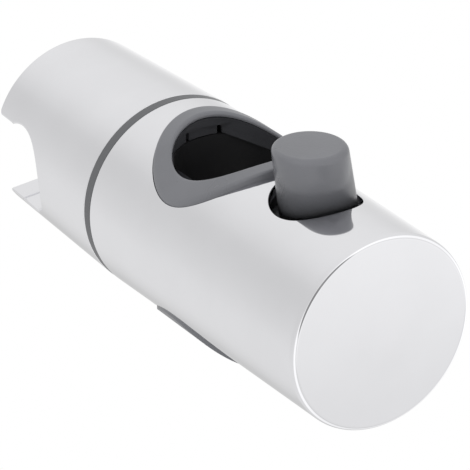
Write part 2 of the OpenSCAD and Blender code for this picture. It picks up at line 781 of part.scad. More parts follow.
// Side view of the space behind the yoke's sloping nose
module yoke_cam_outline() {
    z = yoke_h / 2 + past;
    polygon([[button_x - past, -z], [yoke_cam_x, -z], [yoke_cam_x, 0],
             [yoke_cam_x + cam_ratio * z, z], [button_x - past, z]]);
}

rear_shell();
brake_shoe();
brake_pad();
brake_spring();
pull_rod();
swivel_hub();
hub_screws();
swivel_ring();
friction_oring();
thrust_washer();
retaining_clip();
front_shell();
front_chassis();
chassis_screws();
socket_rim();
socket_sleeve();
socket_cone();
socket_collar();
push_button();
button_spring();
release_yoke();
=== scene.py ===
"""Looks of a shower rail slider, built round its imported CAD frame."""

from __future__ import annotations

import itertools
import json
import logging
import math
from collections.abc import Callable, Iterable, Sequence
from dataclasses import dataclass, field
from enum import Enum

import bpy
import numpy as np
from mathutils import Matrix, Vector
from mathutils.geometry import delaunay_2d_cdt

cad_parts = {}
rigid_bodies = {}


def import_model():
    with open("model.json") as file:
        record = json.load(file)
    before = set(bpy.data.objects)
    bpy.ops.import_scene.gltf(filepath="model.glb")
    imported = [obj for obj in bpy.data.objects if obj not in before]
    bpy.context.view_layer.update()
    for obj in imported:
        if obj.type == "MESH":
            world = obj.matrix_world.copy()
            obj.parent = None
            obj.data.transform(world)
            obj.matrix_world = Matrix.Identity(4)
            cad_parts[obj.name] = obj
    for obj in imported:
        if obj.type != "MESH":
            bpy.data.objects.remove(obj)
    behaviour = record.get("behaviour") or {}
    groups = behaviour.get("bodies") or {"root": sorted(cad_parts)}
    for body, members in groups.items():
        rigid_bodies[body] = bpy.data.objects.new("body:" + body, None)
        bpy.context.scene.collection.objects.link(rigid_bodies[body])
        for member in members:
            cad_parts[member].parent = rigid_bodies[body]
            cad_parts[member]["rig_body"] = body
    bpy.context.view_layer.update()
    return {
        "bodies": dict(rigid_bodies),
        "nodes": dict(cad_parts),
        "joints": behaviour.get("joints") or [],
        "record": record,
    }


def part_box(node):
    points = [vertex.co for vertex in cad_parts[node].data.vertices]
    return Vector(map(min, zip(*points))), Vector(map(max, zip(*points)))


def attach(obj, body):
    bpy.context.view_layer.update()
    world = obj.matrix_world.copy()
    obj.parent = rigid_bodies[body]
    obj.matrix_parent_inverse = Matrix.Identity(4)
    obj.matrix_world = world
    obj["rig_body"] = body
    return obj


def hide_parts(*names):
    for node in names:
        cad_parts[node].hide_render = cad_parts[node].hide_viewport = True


LOG = logging.getLogger("scene")
MM = 0.001
WELD = 0.001
Corner = tuple[Vector, Vector]


class Slot(Enum):
    """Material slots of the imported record."""

    CHROME = "chrome_shell"
    GREY = "grey_plastic"
    BLACK = "black_plastic"
    NATURAL = "natural_plastic"
    RUBBER = "black_rubber"
    STEEL = "bare_steel"


class Wire:
    """A shader socket that can be added, multiplied and fed on as if it were a number."""

    def __init__(self, graph: Graph, socket: bpy.types.NodeSocket) -> None:
        self.graph = graph
        self.socket = socket

    def _math(self, operation: str, other: Wire | float, flip: bool = False) -> Wire:
        """Joins this wire and another value with one maths node.

        Args:
            operation: Name of the maths node's operation.
            other: The other value.
            flip: True to put the other value first.

        Returns:
            The node's result.
        """
        pair = (other, self) if flip else (self, other)
        return self.graph.node("ShaderNodeMath", {"operation": operation}, {0: pair[0], 1: pair[1]})

    def __add__(self, other: Wire | float) -> Wire:
        return self._math("ADD", other)

    __radd__ = __add__

    def __mul__(self, other: Wire | float) -> Wire:
        return self._math("MULTIPLY", other)

    __rmul__ = __mul__

    def __sub__(self, other: Wire | float) -> Wire:
        return self._math("SUBTRACT", other)

    def __rsub__(self, other: Wire | float) -> Wire:
        return self._math("SUBTRACT", other, flip=True)

    def __truediv__(self, other: Wire | float) -> Wire:
        return self._math("DIVIDE", other)

    def fit(self, low: float, high: float, to_low: float = 0.0, to_high: float = 1.0) -> Wire:
        """Maps a range of this wire on to another with soft ends.

        Args:
            low: Value that gives to_low.
            high: Value that gives to_high.
            to_low: Result at and below low.
            to_high: Result at and above high.

        Returns:
            The mapped value.
        """
        return self.graph.node(
            "ShaderNodeMapRange",
            {"interpolation_type": "SMOOTHSTEP"},
            {"Value": self, "From Min": low, "From Max": high, "To Min": to_low, "To Max": to_high},
        )


class Graph:
    """A node tree that is built from plain calls."""

    def __init__(self, tree: bpy.types.NodeTree) -> None:
        self.tree = tree
        tree.nodes.clear()

    def node(
        self,
        kind: str,
        settings: dict[str, object] | None = None,
        values: dict[str | int, object] | None = None,
        out: str | int = 0,
    ) -> Wire:
        """Adds one node.

        Args:
            kind: Blender's type name of the node.
            settings: Attributes to set on it.
            values: Inputs by name or place, each a wire or a constant.
            out: Name or place of the output to return.

        Returns:
            A wire on that output.
        """
        made = self.tree.nodes.new(kind)
        for name, value in (settings or {}).items():
            setattr(made, name, value)
        for key, value in (values or {}).items():
            if isinstance(value, Wire):
                self.tree.links.new(value.socket, made.inputs[key])
            else:
                made.inputs[key].default_value = value
        return Wire(self, made.outputs[out])

    def split(self, vector: Wire) -> tuple[Wire, Wire, Wire]:
        """Takes a vector apart.

        Args:
            vector: The vector.

        Returns:
            Its three parts.
        """
        first = self.node("ShaderNodeSeparateXYZ", values={0: vector})
        return (first, *(Wire(self, first.socket.node.outputs[place]) for place in (1, 2)))

    def ramp(self, value: Wire, stops: dict[float, float]) -> Wire:
        """Reads a smooth curve of brightness over a full turn.

        Args:
            value: Place in the turn, from 0 to 1.
            stops: Brightness by angle, from -180 to 180 degrees.

        Returns:
            The brightness.
        """
        curve = self.node("ShaderNodeValToRGB", values={0: value})
        band = curve.socket.node.color_ramp
        band.interpolation = "B_SPLINE"
        while len(band.elements) < len(stops):
            band.elements.new(0.5)
        for element, (angle, level) in zip(band.elements, stops.items(), strict=True):
            element.position = (angle + 180) / 360
            element.color = (level, level, level, 1)
        return curve


@dataclass(frozen=True)
class Finish:
    """How one material looks.

    Attributes:
        slot: Record slot that it belongs to.
        colour: Base colour, linear.
        metallic: 1 for metal and 0 for plastic or rubber.
        roughness: Roughness of a clean area.
        grain: Size of the fine texture in metres.
        grain_depth: Height of that texture in metres.
        wave: Height in metres of the slow waves that moulding leaves in a surface.
        cloud: How much the roughness and colour drift over a few millimetres.
        wear: How much worn spots brighten the colour and roughen it.
        stretch: Scale of the fine texture along X, Y and Z, below 1 to draw it out.
    """

    slot: Slot
    colour: tuple[float, float, float]
    metallic: float = 0.0
    roughness: float = 0.4
    grain: float = 0.0004
    grain_depth: float = 0.00002
    wave: float = 0.0
    cloud: float = 0.1
    wear: float = 0.0
    stretch: tuple[float, float, float] = (1.0, 1.0, 1.0)

    def build(self, name: str) -> bpy.types.Material:
        """Makes the material.

        Args:
            name: Name of the material.

        Returns:
            The material, with its nodes linked.
        """
        material = bpy.data.materials.new(name)
        material.use_nodes = True
        graph = Graph(material.node_tree)
        place = graph.node("ShaderNodeTexCoord", out="Object")
        drift = graph.node(
            "ShaderNodeTexNoise", values={"Vector": place, "Scale": 85.0, "Detail": 3.0}
        )
        spots = graph.node(
            "ShaderNodeTexNoise", values={"Vector": place, "Scale": 900.0, "Detail": 4.0}
        ).fit(0.62, 0.78, 0.0, self.wear)
        shade = drift.fit(0.3, 0.7, 1.0 - self.cloud * 0.5, 1.0 + self.cloud * 0.5) + spots
        tint = graph.node(
            "ShaderNodeVectorMath", {"operation": "SCALE"}, {0: self.colour, "Scale": shade}
        )
        rough = drift.fit(0.3, 0.7, self.roughness * (1 - self.cloud), self.roughness * (1 + self.cloud))
        spread = graph.node(
            "ShaderNodeVectorMath", {"operation": "MULTIPLY"}, {0: place, 1: self.stretch}
        )
        fine = graph.node(
            "ShaderNodeTexNoise", values={"Vector": spread, "Scale": 1.0 / self.grain, "Detail": 2.0}
        )
        slow = graph.node(
            "ShaderNodeTexNoise", values={"Vector": place, "Scale": 42.0, "Detail": 1.0}
        )
        height = fine * self.grain_depth + slow * self.wave
        bump = graph.node("ShaderNodeBump", values={"Height": height, "Distance": 1.0, "Strength": 1.0})
        surface = graph.node(
            "ShaderNodeBsdfPrincipled",
            values={
                "Base Color": tint,
                "Metallic": self.metallic,
                "Roughness": rough + spots * 0.5,
                "Normal": bump,
            },
        )
        end = graph.tree.nodes.new("ShaderNodeOutputMaterial")
        graph.tree.links.new(surface.socket, end.inputs["Surface"])
        return material


FINISHES = {
    "chrome": Finish(
        Slot.CHROME, (0.862, 0.862, 0.882), metallic=1.0, roughness=0.05, cloud=0.02,
        grain=0.0006, grain_depth=0.0, wave=0.00003,
    ),
    "grey_plastic": Finish(Slot.GREY, (0.172, 0.175, 0.19), roughness=0.3, wear=0.04),
    "black_plastic": Finish(Slot.BLACK, (0.012, 0.012, 0.013), roughness=0.45, wear=0.1),
    "ring_plastic": Finish(Slot.GREY, (0.115, 0.117, 0.124), roughness=0.4, wear=0.04),
    "sleeve_plastic": Finish(Slot.BLACK, (0.04, 0.041, 0.046), roughness=0.5, wear=0.05),
    "natural_plastic": Finish(Slot.NATURAL, (0.62, 0.6, 0.55), roughness=0.5, grain=0.0005),
    "rubber": Finish(
        Slot.RUBBER, (0.012, 0.012, 0.012), roughness=0.75, grain=0.0003, grain_depth=0.00003
    ),
    "steel": Finish(
        Slot.STEEL, (0.55, 0.55, 0.56), metallic=1.0, roughness=0.28, grain=0.0003,
        grain_depth=0.00001, stretch=(0.06, 1.0, 1.0),
    ),
}

NODE_FINISH = {
    "rear_shell": "chrome",
    "front_shell": "chrome",
    "brake_shoe": "natural_plastic",
    "brake_pad": "rubber",
    "brake_spring": "steel",
    "pull_rod": "steel",
    "swivel_hub": "black_plastic",
    "hub_screws": "steel",
    "swivel_ring": "ring_plastic",
    "friction_oring": "rubber",
    "thrust_washer": "natural_plastic",
    "retaining_clip": "steel",
    "front_chassis": "black_plastic",
    "chassis_screws": "steel",
    "socket_rim": "grey_plastic",
    "socket_sleeve": "sleeve_plastic",
    "socket_cone": "black_plastic",
    "socket_collar": "grey_plastic",
    "push_button": "grey_plastic",
    "button_spring": "steel",
    "release_yoke": "natural_plastic",
}


@dataclass(frozen=True)
class Bend:
    """A corner of a profile in millimetres, and the radius that rounds it."""

    u: float
    v: float
    r: float = 0.0


@dataclass(frozen=True)
class Spot:
    """A point of a profile, and the direction in which the profile runs there."""

    u: float
    v: float
    du: float
    dv: float


def rounded(bends: Sequence[Bend], closed: bool = False, steps: int = 6) -> list[Spot]:
    """Runs a profile through its corners.

    Args:
        bends: The corners in order.
        closed: True if the last corner joins the first.
        steps: Number of steps in each rounding.

    Returns:
        Points along the profile. A sharp corner gives two, one for each direction.
    """
    spots: list[Spot] = []
    last = len(bends) - 1
    for i, bend in enumerate(bends):
        here = Vector((bend.u, bend.v))
        before = bends[i - 1] if closed or i > 0 else None
        after = bends[(i + 1) % len(bends)] if closed or i < last else None
        ways = [
            (here - Vector((before.u, before.v))).normalized() if before else None,
            (Vector((after.u, after.v)) - here).normalized() if after else None,
        ]
        way_in = ways[0] or ways[1]
        way_out = ways[1] or ways[0]
        turn = math.atan2(way_in.x * way_out.y - way_in.y * way_out.x, way_in.dot(way_out))
        if bend.r <= 0 or abs(turn) < 1e-6:
            spots.append(Spot(here.x, here.y, way_in.x, way_in.y))
            spots.append(Spot(here.x, here.y, way_out.x, way_out.y))
            continue
        start = here - way_in * bend.r * math.tan(abs(turn) / 2)
        side = Vector((-way_in.y, way_in.x)) * math.copysign(1.0, turn)
        for k in range(steps + 1):
            spin = Matrix.Rotation(turn * k / steps, 2)
            place = start + side * bend.r - (spin @ side) * bend.r
            way = spin @ way_in
            spots.append(Spot(place.x, place.y, way.x, way.y))
    return [*spots, spots[0]] if closed else spots


def fill(loops: Sequence[Sequence[Vector]], extra: Sequence[Vector]) -> tuple[list[Vector], list[list[int]]]:
    """Triangulates the area inside an outline and outside its holes.

    Args:
        loops: The outline and its holes, each as points in order.
        extra: Free points inside the area that even the triangles out.

    Returns:
        The points and the triangles.
    """
    spots: list[Vector] = []
    links: list[tuple[int, int]] = []
    for loop in loops:
        first, count = len(spots), len(loop)
        spots.extend(loop)
        links.extend((first + i, first + (i + 1) % count) for i in range(count))
    flat, _, faces, *_ = delaunay_2d_cdt([*spots, *extra], links, [], 0, 1e-6, False)
    places = np.array([tuple(spot) for spot in flat])
    middles = places[np.array(faces)].mean(axis=1)
    odd = np.zeros(len(faces), bool)
    for i, j in links:
        p, q = spots[i], spots[j]
        if p.y == q.y:
            continue
        crossed = (middles[:, 1] < p.y) != (middles[:, 1] < q.y)
        odd ^= crossed & (middles[:, 0] < p.x + (middles[:, 1] - p.y) * (q.x - p.x) / (q.y - p.y))
    return flat, [face for face, kept in zip(faces, odd, strict=True) if kept]


class Skin:
    """Faces in millimetres with a normal at each corner, welded into one mesh."""

    def __init__(self, turn: Matrix | None = None) -> None:
        self.turn = turn or Matrix.Identity(3)
        self.index: dict[tuple[int, ...], int] = {}
        self.points: list[Vector] = []
        self.faces: list[list[int]] = []
        self.normals: list[Vector] = []

    def _weld(self, point: Vector) -> int:
        """Finds the vertex at a point, or makes it.

        Args:
            point: Place in millimetres.

        Returns:
            The vertex's number.
        """
        choices = []
        for value in point:
            low = math.floor(value / WELD)
            part = value / WELD - low
            near = [low - 1] if part < 0.05 else [low + 1] if part > 0.95 else []
            choices.append([low, *near])
        for key in itertools.product(*choices):
            if key in self.index:
                return self.index[key]
        self.points.append(point)
        self.index[tuple(choice[0] for choice in choices)] = len(self.points) - 1
        return len(self.points) - 1

    def face(self, corners: Sequence[Corner]) -> None:
        """Adds one face, turned so that it looks the way its normals point.

        Args:
            corners: Point and normal of each corner, in order.
        """
        found = [(self._weld(point), normal) for point, normal in corners]
        kept = [pair for k, pair in enumerate(found) if pair[0] != found[k - 1][0]]
        if len({number for number, _ in kept}) < 3:
            return
        places = [self.points[number] for number, _ in kept]
        flat = sum(
            ((a - places[0]).cross(b - places[0]) for a, b in itertools.pairwise(places[1:])), Vector()
        )
        if flat.dot(sum((normal for _, normal in kept), Vector())) < 0:
            kept.reverse()
        self.faces.append([number for number, _ in kept])
        self.normals.extend(normal for _, normal in kept)

    def strips(self, rows: Iterable[Sequence[Corner]], closed: bool = True) -> None:
        """Joins rows of equal length with quads.

        Args:
            rows: The rows in order.
            closed: True if each row's last corner joins its first.
        """
        for low, high in itertools.pairwise(rows):
            count = len(low)
            for i in range(count if closed else count - 1):
                j = (i + 1) % count
                self.face((low[i], low[j], high[j], high[i]))

    def lathe(self, profile: Sequence[Spot], count: int = 96, side: float = 1.0) -> None:
        """Turns a profile round the X axis.

        Args:
            profile: Points with the place along the axis as u and the radius as v.
            count: Number of steps round the axis.
            side: 1 if the surface looks to the left of the profile's direction, -1 for the right.
        """
        def row(spot: Spot) -> list[Corner]:
            made = []
            for i in range(count):
                a = 2 * math.pi * i / count
                out = Vector((0, math.sin(a), math.cos(a)))
                point = Vector((spot.u, 0, 0)) + out * spot.v
                made.append((point, side * (Vector((-spot.dv, 0, 0)) + out * spot.du)))
            return made

        self.strips([row(spot) for spot in profile])

    def mesh(self, name: str) -> bpy.types.Mesh:
        """Makes the mesh in metres.

        Args:
            name: Name of the mesh.

        Returns:
            The mesh, with its own normals.
        """
        mesh = bpy.data.meshes.new(name)
        mesh.from_pydata([self.turn @ point * MM for point in self.points], [], self.faces)
        mesh.polygons.foreach_set("use_smooth", [True] * len(mesh.polygons))
        mesh.normals_split_custom_set([(self.turn @ normal).normalized() for normal in self.normals])
        return mesh


@dataclass
class Bench:
    """Hangs finished pieces on the frame.

    Attributes:
        materials: Materials by finish.
    """

    frame: dict[str, object]
    materials: dict[str, bpy.types.Material]

    def hang(self, mesh: bpy.types.Mesh, node: str, finish: str = "") -> bpy.types.Object:
        """Puts one finished piece in the place of its CAD node.

        Args:
            mesh: The piece's mesh, in place.
            node: The CAD node that it stands for.
            finish: Name of its finish, or empty for the node's own.

        Returns:
            The new object.
        """
        name = finish or NODE_FINISH[node]
        mesh.materials.clear()
        mesh.materials.append(self.materials[name])
        piece = bpy.data.objects.new(f"{node}_piece", mesh)
        bpy.context.scene.collection.objects.link(piece)
        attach(piece, self.frame["nodes"][node]["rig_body"])
        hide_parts(node)
        LOG.info("%s: %d faces", piece.name, len(mesh.polygons))
        return piece

    def span(self, node: str) -> tuple[float, float]:
        """Says where a node begins and ends along the barrel.

        Args:
            node: Name of the node.

        Returns:
            Lowest and highest X in millimetres.
        """
        low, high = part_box(node)
        return low.x / MM, high.x / MM

    def reach(self, node: str, low: float, high: float) -> float:
        """Measures how far a node reaches from the barrel's axis.

        Args:
            node: Name of the node.
            low: Lowest X of the stretch, in millimetres.
            high: Highest X of it.

        Returns:
            The greatest distance from the axis in millimetres.
        """
        spots = (v.co / MM for v in self.frame["nodes"][node].data.vertices)
        return max(math.hypot(p.y, p.z) for p in spots if low <= p.x <= high)


@dataclass(frozen=True)
class Hole:
    """A round hole in the top or bottom of a barrel, in millimetres.

    Attributes:
        x: Place of its middle.
        r: Radius.
        edge: Rounding of its outer edge.
        up: 1 for the top and -1 for the bottom.
    """

    x: float
    r: float
    edge: float
    up: int = 1


@dataclass(frozen=True)
class Barrel:
    """A straight drafted wall round the X axis, in millimetres.

    Attributes:
        x: Place where the radius is known.
        r: That radius.
        slope: Radius gained for each millimetre along X.
    """

    x: float
    r: float
    slope: float

    def radius(self, x: float) -> float:
        """Radius at a place along the axis."""
        return self.r + self.slope * (x - self.x)

    def corner(self, x: float, angle: float) -> Corner:
        """Point and normal at a place and an angle from the top towards -Y."""
        out = Vector((0, -math.sin(angle), math.cos(angle)))
        point = Vector((x, 0, 0)) + out * self.radius(x)
        return point, (out - Vector((self.slope, 0, 0))).normalized()

    def above(self, x: float, y: float, up: int = 1) -> Corner:
        """Point and normal over a place in the XY plane."""
        return self.corner(x, math.atan2(-y, up * math.sqrt(self.radius(x) ** 2 - y * y)))


@dataclass
class FrontShell:
    """The chromed front shell: a drafted barrel with a closed end and three round holes.

    Attributes:
        outside: Outer wall.
        front_x: Open end at the ring.
        end_x: Closed end.
        end_edge: Rounding of the closed end.
        open_edge: Rounding of the open end.
        wall: Wall thickness.
        holes: The holes through the wall.
        columns: Number of steps round the barrel.
    """

    outside: Barrel
    front_x: float
    end_x: float
    holes: Sequence[Hole]
    end_edge: float = 1.1
    open_edge: float = 0.2
    wall: float = 2.0
    columns: int = 144
    step_x: float = 2.2

    def _ring(self, barrel: Barrel, hole: Hole, r: float, steps: int = 96) -> list[Corner]:
        """Points of a barrel round one hole."""
        turns = (2 * math.pi * i / steps for i in range(steps))
        return [
            barrel.above(hole.x + r * math.cos(a), r * math.sin(a), hole.up) for a in turns
        ]

    def _flat(self, point: Vector) -> Vector:
        """Unrolls a point of the wall, with the cut along +Y."""
        angle = math.atan2(-point.y, point.z)
        if angle > math.pi / 2:
            angle -= 2 * math.pi
        return Vector((point.x, angle * self.outside.r))

    def _wall(self, skin: Skin, barrel: Barrel, x0: float, x1: float, inward: bool) -> None:
        """Fills a barrel's wall between two places, round its holes.

        Args:
            skin: Where the faces go.
            barrel: The wall.
            x0: First place along the axis.
            x1: Last place.
            inward: True if it looks at the axis.
        """
        rims = [(hole, hole.r if inward else hole.r + hole.edge) for hole in self.holes]
        spots: list[Vector] = []

        def clear(x: float, y: float, up: bool, room: float) -> bool:
            return all(
                (hole.up > 0) != up or math.hypot(x - hole.x, y) > r + room for hole, r in rims
            )

        columns = self.columns
        rows = max(2, round((x1 - x0) / self.step_x))
        angles = [-1.5 * math.pi + 2 * math.pi * j / columns for j in range(columns + 1)]
        places = [x0 + (x1 - x0) * i / rows for i in range(rows + 1)]
        ref = self.outside.r
        border = [Vector((x0, a * ref)) for a in angles]
        border += [Vector((x, angles[-1] * ref)) for x in places[1:-1]]
        border += [Vector((x1, a * ref)) for a in reversed(angles)]
        border += [Vector((x, angles[0] * ref)) for x in reversed(places[1:-1])]
        loops = [border]
        for hole, r in rims:
            loops.append([self._flat(point) for point, _ in self._ring(barrel, hole, r)])
            for extra in (e for e in (0.45, 1.1, 2.0) if r + e < barrel.radius(hole.x) - 0.6):
                for point, _ in self._ring(barrel, hole, r + extra, 64):
                    inside = x0 + 0.3 < point.x < x1 - 0.3
                    if inside and clear(point.x, point.y, point.z > 0, extra - 0.01):
                        spots.append(self._flat(point))
        for x, a in itertools.product(places[1:-1], angles[1:-1]):
            point, _ = barrel.corner(x, a)
            if clear(x, point.y, point.z > 0, 2.7):
                spots.append(Vector((x, a * ref)))
        flat, faces = fill(loops, spots)
        sign = -1 if inward else 1
        corners = [barrel.corner(p.x, p.y / ref) for p in flat]
        for face in faces:
            skin.face([(corners[k][0], corners[k][1] * sign) for k in face])

    def build(self, turn: Matrix) -> bpy.types.Mesh:
        """Makes the shell's mesh.

        Args:
            turn: Turn of the front body.

        Returns:
            The mesh.
        """
        skin = Skin(turn)
        outside = self.outside
        inside = Barrel(outside.x, outside.r - self.wall, outside.slope)
        x0 = self.front_x + self.open_edge
        x1 = self.end_x - self.end_edge
        floor_x = self.end_x - self.wall
        self._wall(skin, outside, x0, x1, inward=False)
        self._wall(skin, inside, x0, floor_x, inward=True)
        end_r = outside.radius(self.end_x)
        open_r = outside.radius(self.front_x)
        closed = [
            Bend(x1, outside.radius(x1)), Bend(self.end_x, end_r, self.end_edge), Bend(self.end_x, 0)
        ]
        mouth = [
            Bend(x0, inside.radius(x0)), Bend(self.front_x, inside.radius(self.front_x), self.open_edge),
            Bend(self.front_x, open_r, self.open_edge), Bend(x0, outside.radius(x0)),
        ]
        floor = [Bend(floor_x, inside.radius(floor_x)), Bend(floor_x, 0)]
        self._turned(skin, rounded(closed, steps=8))
        self._turned(skin, rounded(mouth))
        self._turned(skin, rounded(floor), side=-1.0)
        for hole in self.holes:
            self._hole_wall(skin, hole, inside)
        return skin.mesh("front_shell_piece")

    def _turned(self, skin: Skin, profile: Sequence[Spot], side: float = 1.0) -> None:
        """Turns a profile round the axis on the wall's own columns."""
        skin.lathe(profile, self.columns, side)

    def _hole_wall(self, skin: Skin, hole: Hole, inside: Barrel, steps: int = 6) -> None:
        """Rounds a hole's outer edge and runs its wall down to the inner surface."""
        rows = []
        for k in range(steps + 1):
            a = math.pi / 2 * k / steps
            ring = self._ring(self.outside, hole, hole.r + hole.edge * (1 - math.sin(a)))
            row = []
            for point, normal in ring:
                back = Vector((hole.x - point.x, -point.y, 0)).normalized()
                drop = Vector((0, 0, -hole.up * hole.edge * (1 - math.cos(a))))
                row.append((point + drop, normal * math.cos(a) + back * math.sin(a)))
            rows.append(row)
        skin.strips(rows)
        backs = [normal for _, normal in rows[-1]]
        low = [(point, back) for (point, _), back in zip(self._ring(inside, hole, hole.r), backs)]
        skin.strips([rows[-1], low])


@dataclass
class RearShell:
    """The chromed rear shell: a drafted barrel with the rail channel cut through its end.

    Attributes:
        outside: Outer wall.
        end_x: Rear end, with the channel's mouth.
        ring_x: Open end at the ring.
        rail_r: Radius of the channel.
        mouth_h: Half the height of its mouth.
        window: Half sizes of the brake's window along Y and Z.
        back_x: Depth of the window, where the hollow begins.
        edge: Rounding of the outer edges.
        tip: Rounding of the mouth's lips.
        wall: Wall thickness.
    """

    outside: Barrel
    end_x: float
    ring_x: float
    rail_r: float = 9.06
    mouth_h: float = 8.3
    window: tuple[float, float] = (9.3, 5.8)
    back_x: float = 12.06
    edge: float = 0.5
    tip: float = 1.1
    open_edge: float = 0.2
    wall: float = 2.0
    columns: int = 144
    step_x: float = 2.2

    def _window_turns(self, steps: int = 16) -> list[float]:
        """Angles round the channel at which it crosses the window, from the top down."""
        cut = math.asin(self.window[1] / self.rail_r)
        return [cut - 2 * cut * k / steps for k in range(steps + 1)]

    def _channel(self) -> list[Spot]:
        """The rear face and the channel as one profile in the XZ plane, from the top down."""
        top_z = (self.outside.radius(self.end_x + self.edge)) * math.cos(math.radians(56))
        lip = rounded([Bend(self.end_x, top_z), Bend(self.end_x, self.mouth_h, self.tip),
                       Bend(-math.sqrt(self.rail_r**2 - self.mouth_h**2), self.mouth_h)])[1:-1]
        start = math.acos(-math.sqrt(1 - (self.mouth_h / self.rail_r) ** 2))
        middle = self._window_turns()
        cut = middle[0]
        turns = [start + (cut - start) * k / 14 for k in range(14)]
        turns += middle
        turns += [-cut + (cut - start) * k / 14 for k in range(1, 15)]
        arc = [
            Spot(self.rail_r * math.cos(a), self.rail_r * math.sin(a), math.sin(a), -math.cos(a))
            for a in turns
        ]
        low = [Spot(spot.u, -spot.v, -spot.du, spot.dv) for spot in reversed(lip)]
        return [*lip, *arc, *low]

    def _edge_rows(self, steps: int = 6) -> list[list[Corner]]:
        """The rounded edge round the whole rear face, as rows from the wall inwards."""
        wall_x = self.end_x + self.edge
        entries: list[tuple[Vector, Vector]] = []
        face_way = Vector((-1, 0, 0))
        fan = [math.radians(56) * k / 22 for k in range(22)]
        for a in fan:
            entries.append((Vector((a, 0, 1)), face_way))
        profile = self._channel()
        for spot in profile:
            entries.append((Vector((spot.u, spot.v, 0)), Vector((spot.dv, 0, -spot.du))))
        for a in reversed(fan):
            entries.append((Vector((math.pi - a, 0, 1)), face_way))
        rows = []
        for k in range(steps + 1):
            a = math.pi / 2 * k / steps
            row = []
            for place, way in entries:
                inset = self.edge * (1 - math.sin(a))
                if place.z > 0:
                    point, normal = self.outside.corner(wall_x - self.edge + inset, place.x)
                else:
                    x = place.x - way.x * inset
                    z = place.y - way.z * inset
                    y = -math.sqrt(max(0.0, self.outside.radius(x) ** 2 - z * z))
                    point, normal = self.outside.corner(x, math.atan2(-y, z))
                flat = (normal - way * normal.dot(way)).normalized()
                point = point - flat * self.edge * (1 - math.cos(a))
                row.append((point, normal * math.cos(a) + way * math.sin(a)))
            rows.append(row)
        return rows

    @staticmethod
    def _mirrored(row: Sequence[Corner]) -> list[Corner]:
        """The same row on the barrel's other side."""
        flip = Matrix.Diagonal((1, -1, 1))
        return [(flip @ point, flip @ normal) for point, normal in row]

    def build(self) -> bpy.types.Mesh:
        """Makes the shell's mesh.

        Returns:
            The mesh.
        """
        skin = Skin()
        rows = self._edge_rows()
        others = [self._mirrored(row) for row in rows]
        skin.strips(rows, closed=False)
        skin.strips(others, closed=False)
        self._rear_face(skin, rows[-1], others[-1])
        self._wall(skin, rows[0], others[0])
        self._open_end(skin)
        return skin.mesh("rear_shell_piece")

    def _rear_face(self, skin: Skin, left: Sequence[Corner], right: Sequence[Corner]) -> None:
        """Rules the rear face and the channel from side to side, round the brake's window."""
        half_y, half_z = self.window
        for i in range(len(left) - 1):
            (a, na), (b, nb) = left[i], left[i + 1]
            (c, nc), (d, nd) = right[i], right[i + 1]
            middle_z = (a.z + b.z) / 2
            if a.x < 0 or abs(middle_z) > half_z:
                skin.face(((a, na), (b, nb), (d, nd), (c, nc)))
                continue
            for side, (p, np_, q, nq) in ((-1, (a, na, b, nb)), (1, (c, nc, d, nd))):
                p2 = Vector((p.x, side * half_y, p.z))
                q2 = Vector((q.x, side * half_y, q.z))
                skin.face(((p, np_), (q, nq), (q2, nq), (p2, np_)))
                inner = Vector((0, -side, 0))
                p3 = Vector((self.back_x, side * half_y, p.z))
                q3 = Vector((self.back_x, side * half_y, q.z))
                skin.face(((p2, inner), (q2, inner), (q3, inner), (p3, inner)))
            if abs(abs(a.z) - half_z) < 0.01 or abs(abs(b.z) - half_z) < 0.01:
                edge = a if abs(abs(a.z) - half_z) < 0.01 else b
                lid = Vector((0, 0, -math.copysign(1, edge.z)))
                quad = [(edge.x, -half_y), (edge.x, half_y), (self.back_x, half_y), (self.back_x, -half_y)]
                skin.face([(Vector((x, y, edge.z)), lid) for x, y in quad])

    def _wall(self, skin: Skin, left: Sequence[Corner], right: Sequence[Corner]) -> None:
        """Fills the outer wall between the rear edge and the ring."""
        ref = self.outside.r
        x1 = self.ring_x - self.open_edge

        def flat(point: Vector) -> Vector:
            return Vector((point.x, math.atan2(-point.y, point.z) * ref))

        around = [flat(point) for point, _ in left]
        around[-1].y = math.pi * ref
        other = [Vector((p.x, -p.y)) for p in reversed(around)]
        edge = [*other, *around[1:]]
        angles = [-math.pi + 2 * math.pi * j / self.columns for j in range(self.columns + 1)]
        rows = round((x1 - self.end_x) / self.step_x)
        places = [self.end_x + self.edge + (x1 - self.end_x - self.edge) * i / rows for i in range(rows + 1)]
        border = [*edge, *(Vector((x, math.pi * ref)) for x in places[1:-1])]
        border += [Vector((x1, a * ref)) for a in reversed(angles)]
        border += [Vector((x, -math.pi * ref)) for x in reversed(places[1:-1])]
        spots: list[Vector] = []
        for x, a in itertools.product(places[1:-1], angles[1:-1]):
            spot = Vector((x, a * ref))
            z = self.outside.radius(x) * math.cos(a)
            room = self.edge + 0.9
            if math.hypot(x, z) < self.rail_r + room:
                continue
            if x < 0 and abs(z) < self.mouth_h + room:
                continue
            spots.append(spot)
        for p, q in itertools.pairwise(edge):
            way = (q - p).normalized()
            spots.append((p + q) / 2 + Vector((way.y, -way.x)) * 0.45)
        flat_spots, faces = fill([border], spots)
        corners = [self.outside.corner(p.x, p.y / ref) for p in flat_spots]
        for face in faces:
            skin.face([corners[k] for k in face])

